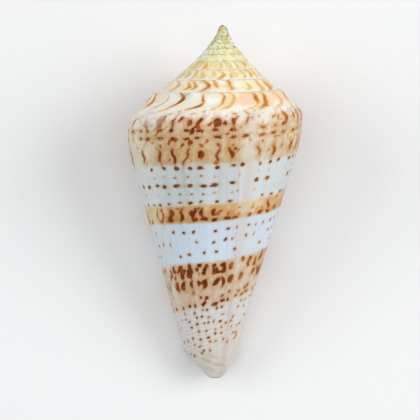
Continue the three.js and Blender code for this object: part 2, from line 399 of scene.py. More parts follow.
def outer_index(skin):
    """Vertex numbers of the outer grid, by column - FIRST_COLUMN and row."""
    columns = np.arange(FIRST_COLUMN, 1)
    index = np.full((len(columns), LAST_ROW + 1), -1)
    apex = skin.add_points(on_coil(0, 0.0, spire_depth(0.0)))[0]
    spire = np.arange(0, ATTACH_ROW + 1)
    body = np.arange(0, LAST_ROW + 1)
    whole = raised_outer(columns, spire)
    # From where the mouth's far wall begins, the grid runs all the way down the side.
    start = -COLUMNS - MOUTH_COLUMNS
    late = raised_outer(np.arange(start, 1), body)
    for n, column in enumerate(columns):
        rows = body if column >= start else spire
        points = late[column - start] if column >= start else whole[n]
        if suture_radius(COLUMN_TURNS[n] + 1) < FIRST_RADIUS:
            index[n, : ATTACH_ROW + 1] = apex
            continue
        index[n, rows[1:]] = skin.add_points(points[1:])
        before = n - COLUMNS
        index[n, 0] = apex if before <= 0 else index[before, ATTACH_ROW]
    return index


def closing_columns():
    """For each row, how many columns back from the lip the mouth has closed."""
    share = ease((STATIONS - 2) / 2)
    return np.round(mix(MOUTH_COLUMNS, CANAL_COLUMNS, share)).astype(int)


def mouth_index(skin, outer):
    """Vertex numbers inside the mouth, by column + MOUTH_COLUMNS and row, and which are open."""
    columns = np.arange(-MOUTH_COLUMNS, 1)
    rows = np.arange(LAST_ROW + 1)
    t = turn_of(columns)[:, None]
    facing_row = np.maximum(rows, SIDE_ROW)
    far = columns[:, None] - COLUMNS - FIRST_COLUMN
    facing = np.concatenate(skin.points)[outer[far, facing_row[None]]]
    wall = wall_points(t, STATIONS[None])
    start, bend, end = facing[:, SIDE_ROW], wall_points(t, ROOF_STATION)[:, 0], wall[:, SIDE_ROW]
    for row in range(CEILING_ROW, SIDE_ROW):
        share = (row - CEILING_ROW) / (SIDE_ROW - CEILING_ROW)
        wall[:, row] = mix(mix(start, bend, share), mix(bend, end, share), share)
    closing = np.clip(-columns[:, None] / closing_columns()[None], 0, 1)
    points = mix(wall, facing, closing[..., None] ** 2)
    opened = (closing < 1) & (rows[None] != CEILING_ROW)
    index = np.where(opened, 0, outer[far, facing_row[None]])
    used = opened & (rows[None] >= CEILING_ROW)
    index[used] = skin.add_points(points[used])
    return index, opened


def crest_points(skin, outer, inner, forward, reach=LIP_CREST):
    """Rounded rows between an outer edge and an inner edge, each (n,) vertex numbers."""
    points = np.concatenate(skin.points)
    a, b = points[outer], points[inner]
    rows = []
    for k in range(1, CREST_ROWS + 1):
        share = k / (CREST_ROWS + 1)
        height = math.sin(math.pi * share) * np.minimum(reach, 0.45 * np.linalg.norm(b - a, axis=1))
        rows.append(mix(a, b, share) + forward * height[:, None])
    return np.stack(rows, 1)


def add_edges(skin, outer, mouth):
    """The lip's rounded edge, the canal's front edge, and the blunt tip."""
    last = -FIRST_COLUMN
    rows = np.arange(LAST_ROW + 1)
    lip_outer = outer[last]
    lip_inner = mouth[MOUTH_COLUMNS].copy()
    lip_inner[:CEILING_ROW] = outer[last - COLUMNS, ATTACH_ROW:SIDE_ROW]
    ahead = np.array([-math.sin(LIP_AZIMUTH), 0, math.cos(LIP_AZIMUTH)])
    down = np.array([0.0, -1.0, 0.0])
    share = ease((rows - LAST_ROW + 4) / 4)[:, None]
    forward = mix(ahead, down, share * 0.5)
    forward /= np.linalg.norm(forward, axis=1, keepdims=True)
    crest = crest_points(skin, lip_outer, lip_inner, forward)
    numbers = np.full((LAST_ROW + 1, CREST_ROWS), lip_outer[0])
    numbers[1:] = skin.add_points(crest[1:]).reshape(-1, CREST_ROWS)
    strip = np.column_stack([lip_outer, numbers, lip_inner])
    stations = STATIONS[:, None]
    skin.add_grid(strip, 0.0, stations, RIM, flip=True)

    columns = np.arange(-CANAL_COLUMNS, 1)
    front_outer = outer[columns - FIRST_COLUMN, LAST_ROW]
    front_inner = mouth[columns + MOUTH_COLUMNS, LAST_ROW]
    front = crest_points(skin, front_outer, front_inner, down)
    front_numbers = np.empty((len(columns), CREST_ROWS), int)
    front_numbers[:-1] = skin.add_points(front[:-1]).reshape(-1, CREST_ROWS)
    front_numbers[-1] = numbers[-1]
    strip = np.column_stack([front_outer, front_numbers, front_inner])
    skin.add_grid(strip, turn_of(columns)[:, None], 4.0, RIM)

    around = np.arange(-COLUMNS - CANAL_COLUMNS, -CANAL_COLUMNS + 1)
    rim = np.concatenate([outer[around - FIRST_COLUMN, LAST_ROW], front_numbers[0]])
    add_tip(skin, rim)


def add_tip(skin, rim):
    """Rings that round over from the front margin to a middle point."""
    points = np.concatenate(skin.points)[rim]
    middle = points.mean(0)
    rings = [rim]
    for k in range(1, TIP_RINGS):
        share = k / TIP_RINGS
        ring = mix(points, middle, share) + np.array([0, -0.35 * math.sin(math.pi * share), 0])
        rings.append(skin.add_points(ring))
    index = np.stack(rings, 1)
    index = np.vstack([index, index[:1]])
    skin.add_grid(index, np.linspace(-1.35, -0.35, len(index))[:, None], 4.0, OUTSIDE)
    centre = skin.add_points(middle)[0]
    inner = index[:, -1]
    corners = np.stack([inner[:-1], inner[1:], np.full(len(inner) - 1, centre)], -1)
    coordinates = np.tile([-0.8, 4.0, OUTSIDE], (len(corners), 3, 1))
    skin.add_triangles(corners, coordinates)


def grow_shell():
    skin = Skin()
    outer = outer_index(skin)
    growth = COLUMN_TURNS[:, None]
    first_body = -COLUMNS - FIRST_COLUMN
    ramp = slice(0, ATTACH_ROW + 1)
    skin.add_grid(
        outer[: first_body + 1, ramp], growth[: first_body + 1], STATIONS[None, ramp], OUTSIDE)
    skin.add_grid(outer[first_body:], growth[first_body:], STATIONS[None], OUTSIDE)

    mouth, opened = mouth_index(skin, outer)
    t = turn_of(np.arange(-MOUTH_COLUMNS, 1))[:, None]
    roof = slice(CEILING_ROW, SIDE_ROW + 1)
    wall = slice(SIDE_ROW, None)
    skin.add_grid(mouth[:, roof], t, STATIONS[None, roof], INSIDE, flip=True)
    skin.add_grid(mouth[:, wall], t, STATIONS[None, wall], INSIDE, flip=True, keep=opened[:, wall])
    far = outer[first_body - MOUTH_COLUMNS : first_body + 1, wall]
    skin.add_grid(far, t - 1, STATIONS[None, wall], OUTSIDE, keep=opened[:, wall])
    add_edges(skin, outer, mouth)
    return skin


# ---- The markings -------------------------------------------------------------------------

# Colour is laid down at the lip in pulses, so the marks stand in columns.
FIRST_MARK_TURN = -1.36
COLUMN_STEP = 0.028
COLUMN_JITTER = 0.004

# How strongly colour was laid down: growth turn and strength.
VIGOUR = (
    (-1.3, 0.8), (-1.12, 0.9), (-1.08, 0.3), (-1.0, 0.85), (-0.87, 0.4), (-0.8, 0.9), (-0.72, 0.25),
    (-0.66, 0.8), (-0.56, 0.7), (-0.46, 0.7), (-0.435, 0.55), (-0.412, 0.4), (-0.395, 0.8),
    (-0.37, 1.0), (-0.25, 1.0), (-0.21, 0.55), (-0.185, 0.45), (-0.12, 0.5), (-0.06, 0.6), (0, 0.4),
)

# How rich the ground between the marks is: growth turn and richness.
RICHNESS = (
    (-1.3, 0.7), (-1.12, 0.7), (-1.08, 0.3), (-1.0, 0.7), (-0.87, 0.4), (-0.8, 0.8), (-0.72, 0.25),
    (-0.66, 0.7), (-0.56, 0.6), (-0.47, 0.45), (-0.438, 0.25), (-0.422, 0.14), (-0.412, 0.16),
    (-0.395, 0.6), (-0.37, 0.9), (-0.25, 0.85), (-0.21, 0.4), (-0.185, 0.25), (-0.12, 0.3),
    (-0.06, 0.5), (0, 0.4),
)

# How orange the side's marks are: growth turn and share.
WARMTH = (
    (-1.2, 0.2), (-1.0, 0.7), (-0.9, 0.1), (-0.72, 0.6), (-0.6, 0.45), (-0.45, 0.6), (-0.41, 0.1),
    (0, 0),
)


def even_rows(first, step, *looks):
    """Rows at even steps down the side, each with its look."""
    return [(first + n * step, *look) for n, look in enumerate(looks)]


# Looks of spots: half width and half height in millimetres, darkness, and how many are there.
BIG_SPOTS = (0.42, 0.23, 1.0, 0.97)
SMALL_SPOTS = (0.14, 0.1, 0.55, 0.75)
SPARSE_SPOTS = (0.18, 0.17, 0.85, 0.6)
FRONT_SPOTS = (0.15, 0.13, 0.85, 0.6)
# Rows of spots: place down the side, and the row's look.
SPOT_ROWS = (
    *even_rows(0.05, 0.03, (0.4, 0.2, 0.95, 0.9), (0.44, 0.18, 0.95, 0.85), (0.18, 0.22, 0.7, 0.35)),
    *even_rows(
        0.2, 0.035,
        (0.32, 0.2, 1.0, 0.97), SMALL_SPOTS, BIG_SPOTS, SMALL_SPOTS, (0.26, 0.15, 0.95, 0.95)),
    *even_rows(0.41, 0.046, BIG_SPOTS, SPARSE_SPOTS, SPARSE_SPOTS, SPARSE_SPOTS),
    *even_rows(0.6, 0.035, (0.3, 0.28, 1.0, 0.97), (0.28, 0.26, 1.0, 0.75)),
    *even_rows(0.73, 0.027, (0.2, 0.2, 0.95, 0.5), (0.28, 0.22, 0.95, 0.8), *[FRONT_SPOTS] * 7),
)

# Rows of flames: place down the side, half height in millimetres and darkness.
FLAME_ROWS = (
    (0.02, 0.8, 0.85), (0.15, 1.1, 0.9), (0.384, 0.85, 0.95), (0.617, 0.55, 0.95), (0.672, 0.8, 0.95),
)

# Specks between the larger marks: first and last place of a band, and how many to a column.
SPECKLES = ((0.0, 0.12, 5), (0.12, 0.185, 1), (0.36, 0.41, 2), (0.595, 0.72, 1))

# Curved streaks on the ramps, from the lip back to the spire's plain top.
FIRST_STREAK_TURN = -0.02
STREAK_STEP = 0.036
LAST_PLAIN_TURN = -3.45

MARK_SEED = 7
# A mark is worked out only within this many turns of its own.
MARK_REACH = 0.12
# 2 makes a spot an ellipse, and more makes it squarer.
SPOT_SQUARENESS = 2.6


class Markings:
    """Over the outer grid: how deep a place lies inside a mark, in mm, and how dark the mark is."""

    def __init__(self):
        growth = COLUMN_TURNS[:, None]
        self.station = np.broadcast_to(STATIONS[None], (len(COLUMN_TURNS), len(STATIONS)))
        self.turn = growth - lip_lag(self.station)
        radius, depth = profile(self.turn, self.station)
        self.across = 2 * np.pi * radius
        self.down = side_length(self.turn)
        self.place = (depth - shoulder_depth(self.turn)) / self.down - drift(self.turn)
        self.depth = np.full(self.turn.shape, -1.0)
        self.tone = np.zeros(self.turn.shape)

    def near(self, turn):
        return slice(*np.searchsorted(COLUMN_TURNS, (turn - MARK_REACH, turn + MARK_REACH)))

    def keep(self, near, depth, tone):
        better = depth > self.depth[near]
        self.depth[near][better] = depth[better]
        self.tone[near][better] = np.broadcast_to(tone, depth.shape)[better]

    def spot(self, turn, place, half_width, half_height, lean, tone):
        near = self.near(turn)
        dy = (self.place[near] - place) * self.down[near]
        wave = 0.17 * np.sin(3.4 * dy + 900 * turn) * ease((half_height - 0.3) * 2)
        dx = (self.turn[near] - turn) * self.across[near] - lean * dy - wave
        power = SPOT_SQUARENESS
        far = (np.abs(dx / half_width) ** power + np.abs(dy / half_height) ** power) ** (1 / power)
        depth = (1 - far) * min(half_width, half_height)
        self.keep(near, np.where(self.station[near] > 1, depth, -1), tone)

    def streak(self, turn, half_width, tone, first, last, tail):
        """A streak that bows away from the lip across the ramp, then sweeps back as a thin tail."""
        near = self.near(turn)
        s = self.station[near]
        size = self.across[near] / (2 * np.pi * LIP_RADIUS)
        sweep = (0.8 if turn > -1 else 0.35) * np.clip(s - 0.6, 0, 0.95) ** 1.5
        wave = 0.004 * np.sin(8 * s + 300 * turn)
        middle = turn + 0.022 * np.clip(1 - 2 * s, 0, 1) ** 2 + 0.14 * sweep + wave
        dx = np.abs(self.turn[near] - middle) * self.across[near]
        swell = np.sin(np.pi * np.clip((s - first) / (last - first + 0.1), 0, 1))
        body = half_width * (0.55 + 0.45 * size) * (0.45 + 0.75 * swell)
        thin = mix(body, 0.03, ease((s - last) / 0.15))
        across = thin - dx / (1 + 2.5 * ease(sweep / 0.2))
        along = np.minimum(s - first, max(last, tail) - s) * 5.5 * size + 0.1
        self.keep(near, np.minimum(across, along), tone * (1 - 0.42 * ease((s - last) / 0.2)))


def vigour(turn):
    return np.interp(turn, *zip(*VIGOUR))


def mark_columns(random):
    """Growth turns of all the columns of spots on the last whorl and on what the mouth shows."""
    columns = np.arange(FIRST_MARK_TURN, 0.0, COLUMN_STEP)
    return columns + random.normal(0, COLUMN_JITTER, len(columns))


def paint_rows(marks, columns, random):
    """Rows of spots, one to a column where colour was laid down strongly enough."""
    for place, half_width, half_height, tone, share in SPOT_ROWS:
        for column in columns:
            luck, wide, high, off, low = random.random(5)
            strength = float(vigour(column))
            if luck > share * (0.25 + 0.9 * strength):
                continue
            marks.spot(
                column + mix(0.004, 0.022, place) * (off - 0.5),
                place + mix(0.004, 0.016, place) * (low - 0.5),
                half_width * mix(0.75, 1.45, wide) * mix(0.6, 1.05, strength),
                half_height * mix(0.9, 1.4, high), 0.5 * (off - 0.5), tone * mix(0.55, 1, strength))


def paint_flames(marks, columns, random):
    """Taller, leaning marks of the coloured bands."""
    for place, half_height, tone in FLAME_ROWS:
        for column in columns:
            luck, wide, high, off, lean = random.random(5)
            strength = float(vigour(column))
            if luck > 0.35 + 0.6 * strength:
                continue
            marks.spot(
                column + 0.01 * (off - 0.5), place + 0.01 * (high - 0.5),
                mix(0.18, 0.6, wide * strength),
                half_height * mix(0.5, 1.2, high), 0.8 * (lean - 0.4), tone * mix(0.5, 1, strength))


def paint_speckles(marks, columns, random):
    """Specks between the larger marks of the bands."""
    for first, last, number in SPECKLES:
        for column in np.repeat(columns, number):
            off, low, wide, high, dark = random.random(5)
            strength = float(vigour(column))
            marks.spot(
                column + COLUMN_STEP * (off - 0.5), mix(first, last, low),
                mix(0.12, 0.3, wide) * strength + 0.05, mix(0.12, 0.4, high), off - 0.3,
                mix(0.3, 1.0, dark) * strength)


def paint_streaks(marks, random):
    """Curved streaks on the ramps; on the last whorl their thin tails run out over the shoulder."""
    turn = FIRST_STREAK_TURN
    while turn > LAST_PLAIN_TURN:
        gap, wide, dark, first, last = random.random(5)
        turn -= STREAK_STEP * mix(0.5, 1.7, gap)
        tail = mix(1.1, 1.6, dark) if turn > -1 else 0
        faded = mix(1, 0.4, min(1, max(0, -turn - 1) / 2.4))
        tone = mix(0.3, 0.95, dark) * faded
        marks.streak(turn, mix(0.12, 0.42, wide), tone, 0.35 * first, mix(0.6, 1, last), tail)


def paint_markings():
    marks = Markings()
    random = np.random.default_rng(MARK_SEED)
    columns = mark_columns(random)
    paint_rows(marks, columns, random)
    paint_flames(marks, columns, random)
    paint_speckles(marks, columns, random)
    paint_streaks(marks, random)
    return marks


# ---- Placing, looks and the scene ---------------------------------------------------------

def resting_turn():
    return Matrix.Rotation(REST_PITCH, 3, "X") @ Matrix.Rotation(REST_ROLL, 3, "Y")


def lay_down(points):
    """Turns the grown form into its resting pose, on the CAD shell's own box, in metres."""
    turned = points @ np.array(resting_turn()).T * MM
    low, high = (np.array(corner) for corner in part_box("shell"))
    own_low, own_high = turned.min(0), turned.max(0)
    shift = (low + high) / 2 - (own_low + own_high) / 2
    shift[2] = low[2] - own_low[2] - WORN_FLAT * MM
    placed = turned + shift
    placed[:, 2] = np.maximum(placed[:, 2], low[2])
    return placed, shift


# Before this turn the mouth's glaze covers the whorl that it faces.
MOUTH_GLAZE_TURN = -1.03
# Thin reddish lines along the last rest in growth: growth turn, width, strength; and their lean.
REST_LINES = ((-0.4, 0.0016, 0.7), (-0.391, 0.0013, 0.45), (-0.375, 0.0012, 0.3))
REST_LEAN = 0.04
# The grey-green stain on the last ramp: growth turn and station, their widths, and its strength.
RAMP_STAIN_TURN, RAMP_STAIN_STATION = -0.27, 0.26
RAMP_STAIN_TURNS, RAMP_STAIN_STATIONS, RAMP_STAIN = 0.015, 0.14, 0.8
# Greyish streaks down the first white zone: growth turn, width, strength; and where it lies.
SIDE_STAINS = (
    (-0.286, 0.008, 0.5), (-0.271, 0.005, 0.3), (-0.31, 0.012, 0.3), (-0.245, 0.006, 0.2),
    (-0.36, 0.01, 0.2),
)
SIDE_STAIN_PLACE, SIDE_STAIN_HEIGHT = 0.265, 0.08
# The soiled rim round the callus: its reach in turns and in place, and the rim's width.
CHIP_TURNS, CHIP_PLACE, CHIP_HEIGHT, CHIP_RIM = 0.027, 0.004, 0.026, 0.14


def stain_strength(turn, station, place, chip):
    """How strongly the surface is soiled, from 0 to 1."""
    stain = RAMP_STAIN * bump(turn, RAMP_STAIN_TURN, RAMP_STAIN_TURNS)
    stain = stain * bump(station, RAMP_STAIN_STATION, RAMP_STAIN_STATIONS)
    for middle, width, strength in SIDE_STAINS:
        streak = strength * bump(turn, middle, width) * bump(place, SIDE_STAIN_PLACE, SIDE_STAIN_HEIGHT)
        stain = np.maximum(stain, streak)
    stain = np.maximum(stain, 0.8 * bump(chip, 1, CHIP_RIM) * (place > 0.008) * (turn > -1))
    slant = place + NOTCH_SLANT * (turn - NOTCH_TURN)
    for line, width, strength in NOTCH_LINES:
        shown = bump(slant, NOTCH_PLACE + line, width) * bump(turn, NOTCH_TURN, 0.1) * (station > 3)
        stain = np.maximum(stain, strength * shown)
    return stain


def surface_fields(growth, station, region):
    """The values that the material reads, for every corner of every triangle."""
    marks = paint_markings()
    columns = np.rint(np.interp(growth, COLUMN_TURNS, np.arange(len(COLUMN_TURNS)))).astype(int)
    rows = np.rint(np.interp(station, STATIONS, np.arange(len(STATIONS)))).astype(int)
    turn, place, depth = (values[columns, rows] for values in (marks.turn, marks.place, marks.depth))
    outside = region == OUTSIDE
    covered = ease((MOUTH_GLAZE_TURN - turn) / 0.1) * (station > 1) * (turn > -1.5)
    chip = np.hypot((turn - CALLUS_TURN) / CHIP_TURNS, (place - CHIP_PLACE) / CHIP_HEIGHT)
    callus = 0.7 * bump(chip, 0, 0.9) * (turn > -1)
    rest_lines = sum(
        strength * bump(growth + REST_LEAN * place, middle, width)
        for middle, width, strength in REST_LINES)
    return {
        "growth": growth,
        "station": station,
        "band": place,
        "mark": np.where(outside, depth - 1.5 * covered, -1.0),
        "tone": marks.tone[columns, rows],
        "vigour": np.interp(turn, *zip(*RICHNESS)),
        "warmth": np.maximum(ease((1.3 - station) / 0.2), np.interp(turn, *zip(*WARMTH))),
        "stain": stain_strength(turn, station, place, chip) * outside,
        "pink_line": rest_lines * (station > 2) * outside,
        "inside": np.maximum.reduce([1.0 - outside, covered, callus]),
    }


def make_shell():
    skin = grow_shell()
    points, shift = lay_down(np.concatenate(skin.points))
    triangles = np.concatenate(skin.triangles)
    corners = np.concatenate(skin.corners).reshape(-1, 3)
    mesh = bpy.data.meshes.new("cone_shell")
    mesh.from_pydata(points.tolist(), [], triangles.tolist())
    mesh.update()
    for name, values in surface_fields(*corners.T).items():
        layer = mesh.attributes.new(name, "FLOAT", "CORNER")
        layer.data.foreach_set("value", values.astype(np.float32))
    mesh.shade_smooth()
    shell = bpy.data.objects.new("cone_shell", mesh)
    bpy.context.scene.collection.objects.link(shell)
    return shell, shift


def shade(red, green, blue):
    """A colour on a 0-255 screen scale, as the linear colour that nodes take."""
    def linear(value):
        value /= 255
        return value / 12.92 if value <= 0.04045 else ((value + 0.055) / 1.055) ** 2.4

    return (linear(red), linear(green), linear(blue), 1.0)


class Nodes:
    """Short ways to add the nodes of one material and to wire them up."""

    def __init__(self, material):
        self.tree = material.node_tree

    def add(self, kind, values, **settings):
        node = self.tree.nodes.new(kind)
        for name, value in settings.items():
            setattr(node, name, value)
        for key, value in values.items():
            if isinstance(value, bpy.types.NodeSocket):
                self.tree.links.new(value, node.inputs[key])
            else:
                node.inputs[key].default_value = value
        return node

    def attribute(self, name):
        return self.add("ShaderNodeAttribute", {}, attribute_name=name).outputs["Fac"]

    def math(self, operation, a, b=0.0, c=0.0):
        return self.add("ShaderNodeMath", {0: a, 1: b, 2: c}, operation=operation).outputs[0]

    def step(self, value, low, high, first=0.0, last=1.0):
        """A smooth step from `first` at `low` to `last` at `high`."""
        values = {"Value": value, "From Min": low, "From Max": high, "To Min": first, "To Max": last}
        return self.add("ShaderNodeMapRange", values, interpolation_type="SMOOTHSTEP").outputs[0]

    def mix(self, share, a, b, kind="MIX"):
        node = self.add("ShaderNodeMix", {0: share, 6: a, 7: b}, data_type="RGBA", blend_type=kind)
        return node.outputs[2]

    def noise(self, vector, scale, detail=2.0, roughness=0.5):
        values = {"Vector": vector, "Scale": scale, "Detail": detail, "Roughness": roughness}
        return self.add("ShaderNodeTexNoise", values).outputs[0]

    def vector(self, x, y, z=0.0):
        return self.add("ShaderNodeCombineXYZ", {0: x, 1: y, 2: z}).outputs[0]

    def ramp(self, value, low, high, stops):
        """A colour ramp whose stops are given in the value's own units."""
        span = self.add("ShaderNodeMapRange", {"Value": value, "From Min": low, "From Max": high})
        node = self.add("ShaderNodeValToRGB", {"Fac": span.outputs[0]})
        elements = node.color_ramp.elements
        for k, (place, colour) in enumerate(stops):
            element = elements[k] if k < 2 else elements.new(1.0)
            element.position = (place - low) / (high - low)
            element.color = shade(*colour)
        return node.outputs["Color"]


# Places where the ramps down the side begin and end.
BAND_TOP, BAND_END = -0.06, 1.04
# Ground colours down the side, by place, where colour was laid down strongly.
GROUND = (
    (-0.06, (240, 236, 230)), (0.0, (238, 228, 218)), (0.03, (220, 204, 178)), (0.1, (207, 188, 152)),
    (0.14, (203, 181, 141)), (0.178, (201, 180, 144)), (0.19, (199, 206, 207)), (0.345, (200, 208, 210)),
    (0.356, (212, 172, 116)), (0.4, (199, 147, 88)), (0.416, (198, 152, 98)), (0.426, (201, 213, 224)),
    (0.578, (205, 218, 230)), (0.592, (206, 186, 156)), (0.68, (206, 186, 164)), (0.75, (208, 192, 176)),
    (0.775, (212, 213, 214)), (0.86, (214, 211, 208)), (0.94, (212, 206, 198)), (1.04, (208, 202, 192)),
)
# How far the clouds show, by place: white where the ground is coloured.
COLOURED = (
    (-0.06, (60, 60, 60)), (0.02, (255, 255, 255)), (0.178, (255, 255, 255)), (0.194, (0, 0, 0)),
    (0.35, (0, 0, 0)), (0.36, (243, 243, 243)), (0.415, (243, 243, 243)), (0.426, (0, 0, 0)),
    (0.58, (0, 0, 0)), (0.6, (225, 225, 225)), (0.74, (215, 215, 215)), (0.79, (90, 90, 90)),
    (1.04, (90, 90, 90)),
)
# The same where little colour was laid down.
PALE_GROUND = (
    (-0.06, (240, 238, 230)), (0.05, (226, 220, 200)), (0.17, (216, 211, 186)), (0.2, (212, 216, 212)),
    (0.34, (212, 216, 214)), (0.36, (224, 204, 162)), (0.41, (222, 202, 162)), (0.43, (208, 216, 219)),
    (0.57, (208, 216, 221)), (0.6, (212, 204, 182)), (0.74, (212, 205, 188)), (0.8, (211, 211, 208)),
    (1.04, (206, 200, 189)),
)
# Ground colours of the spire's ramps, by growth turn.
SPIRE_TOP_TURN = -9
SPIRE_GROUND = (
    (SPIRE_TOP_TURN, (214, 208, 152)), (-6, (232, 230, 180)), (-4, (236, 234, 188)), (-3, (238, 230, 188)),
    (-2, (243, 231, 188)), (-1.05, (244, 232, 192)), (-0.98, (243, 216, 172)), (-0.6, (243, 216, 172)),
    (-0.35, (242, 214, 172)), (-0.31, (236, 232, 214)), (-0.2, (236, 238, 230)), (-0.15, (240, 216, 180)),
    (0, (240, 214, 174)),
)
# Colours of a mark's edge and middle, from a faint mark to a dark one.
EDGE_TONES = ((0, (206, 180, 134)), (0.5, (184, 128, 70)), (1, (146, 76, 24)))
CORE_TONES = ((0, (198, 162, 112)), (0.5, (172, 96, 38)), (0.75, (142, 54, 10)), (0.95, (94, 26, 0)))
# The same where the colour laid down was orange.
WARM_EDGE_TONES = ((0, (240, 204, 128)), (0.5, (228, 172, 88)), (1, (200, 122, 52)))
WARM_CORE_TONES = ((0, (234, 188, 104)), (0.5, (208, 130, 46)), (0.85, (158, 66, 14)), (1, (118, 38, 8)))


def ground_colour(nodes, place, fields, coloured):
    """The colour between the marks."""
    def share(*factors):
        total = factors[0]
        for factor in factors[1:]:
            total = nodes.math("MULTIPLY", total, factor)
        return total

    band = fields["band"]
    strong = nodes.ramp(band, BAND_TOP, BAND_END, GROUND)
    pale = nodes.ramp(band, BAND_TOP, BAND_END, PALE_GROUND)
    side = nodes.mix(nodes.step(fields["vigour"], 0.15, 0.75), pale, strong)
    # Old lip lines are tinged with pink.
    rest = nodes.step(fields["vigour"], 0.3, 0.14)
    side = nodes.mix(share(rest, 0.38), side, shade(206, 184, 176))
    # Golden and whitish clouds in the coloured bands.
    gold = nodes.step(nodes.noise(place, 560, 4, 0.6), 0.46, 0.6)
    side = nodes.mix(share(gold, fields["vigour"], coloured, 0.6), side, shade(184, 136, 74))
    milk = nodes.step(nodes.noise(place, 400, 4, 0.6), 0.5, 0.62)
    side = nodes.mix(share(milk, coloured, 0.4), side, shade(226, 214, 198))
    # Towards the front: whitish beads on the cords' crests, partly their own colour and partly painted
    # highlight, and painted shade in the furrows.
    wave = nodes.math("SINE", nodes.math("MULTIPLY", band, 2 * math.pi * SIDE_LENGTH / CORD_PITCH))
    beads = nodes.step(nodes.noise(place, 850, 2), 0.42, 0.58)
    front = share(nodes.step(band, 0.74, 0.84), nodes.step(band, 1.0, 0.93))
    # Painted highlight: the cords' crests are lightened, broken into whitish beads.
    side = nodes.mix(share(nodes.step(wave, -0.2, 0.9), beads, front, 0.38), side, shade(234, 234, 236))
    # Painted shade: the furrows between the cords are darkened.
    side = nodes.mix(share(nodes.step(wave, 0.0, -0.9), front, 0.15), side, shade(184, 176, 162))

    # The spire: cream with pink, golden and milk-white patches, and a painted highlight along each ramp's
    # outer edge.
    growth, station = fields["growth"], fields["station"]
    stretched = nodes.vector(nodes.math("MULTIPLY", growth, 16.0), station)
    spire = nodes.ramp(growth, SPIRE_TOP_TURN, 0, SPIRE_GROUND)
    late = share(nodes.step(growth, -1.3, -0.9), nodes.step(growth, -0.28, -0.36, 0.25, 1.0))
    pink = nodes.step(nodes.noise(stretched, 1.0, 2), 0.45, 0.62)
    spire = nodes.mix(share(pink, late, 0.55), spire, shade(242, 204, 182))
    golden = nodes.step(nodes.noise(place, 620, 4, 0.65), 0.46, 0.62)
    spire = nodes.mix(share(golden, nodes.step(growth, -1.0, -3.0, 0.15, 0.75)), spire, shade(214, 196, 128))
    white = nodes.step(nodes.noise(place, 430, 4, 0.6), 0.48, 0.62)
    spire = nodes.mix(share(white, nodes.step(growth, -1.0, -3.0, 0.85, 0.7)), spire, shade(240, 243, 232))
    mature = nodes.step(growth, -4.4, -3.0)
    # Painted highlight: the outer edge of each mature ramp is lightened towards white.
    edge = nodes.step(station, 0.7, 0.98)
    spire = nodes.mix(share(edge, mature, 0.75), spire, shade(244, 241, 234))
    return nodes.mix(nodes.step(station, 0.95, 1.3), spire, side)


def mark_colour(nodes, place, fields, coloured, ground):
    """Marks over the ground: brown in the middle, running out orange at the edge."""
    on_spire = nodes.step(fields["station"], 1.25, 0.95)
    ragged = nodes.math("SUBTRACT", nodes.noise(place, 1500, 3, 0.65), 0.46)
    depth = nodes.math("MULTIPLY_ADD", ragged, nodes.step(coloured, 0, 1, 0.4, 0.56), fields["mark"])
    cover = nodes.step(depth, nodes.step(on_spire, 0, 1, -0.1, -0.2), 0.04)
    blotchy = nodes.math("MULTIPLY", nodes.step(nodes.noise(place, 1000, 2), 0.42, 0.66), 0.24)
    tone = nodes.math("SUBTRACT", fields["tone"], nodes.math("MULTIPLY", blotchy, fields["tone"]))
    edge, core, warm_edge, warm_core = (
        nodes.ramp(tone, 0, 1, tones)
        for tones in (EDGE_TONES, CORE_TONES, WARM_EDGE_TONES, WARM_CORE_TONES)
    )
    # Dots on the white ground are a duller brown.
    dull = nodes.math("SUBTRACT", 0.5, nodes.math("MULTIPLY", coloured, 0.5))
    core = nodes.mix(nodes.math("MULTIPLY", dull, 1.4), core, shade(82, 50, 22))
    edge = nodes.mix(fields["warmth"], edge, warm_edge)
    core = nodes.mix(fields["warmth"], core, warm_core)
    colour = nodes.mix(nodes.step(depth, -0.06, nodes.step(on_spire, 0, 1, 0.1, 0.26)), edge, core)
    # A golden stain spreads round the larger marks, and a thin dull one round every dot.
    spread = nodes.math("MULTIPLY", nodes.step(depth, -1.0, 0.0), coloured)
    spread = nodes.math("MULTIPLY", spread, nodes.step(fields["tone"], 0.3, 0.9, 0.0, 0.6))
    ground = nodes.mix(spread, ground, shade(190, 136, 70))
    dark = nodes.step(fields["tone"], 0.1, 0.9, 0.1, 0.45)
    thin = nodes.math("MULTIPLY", nodes.step(depth, -0.36, 0.05), dark)
    ground = nodes.mix(thin, ground, nodes.mix(on_spire, shade(182, 156, 100), shade(246, 208, 118)))
    strength = nodes.math("MULTIPLY", cover, nodes.step(fields["tone"], 0.0, 0.6, 0.35, 1.0))
    return nodes.mix(strength, ground, colour)


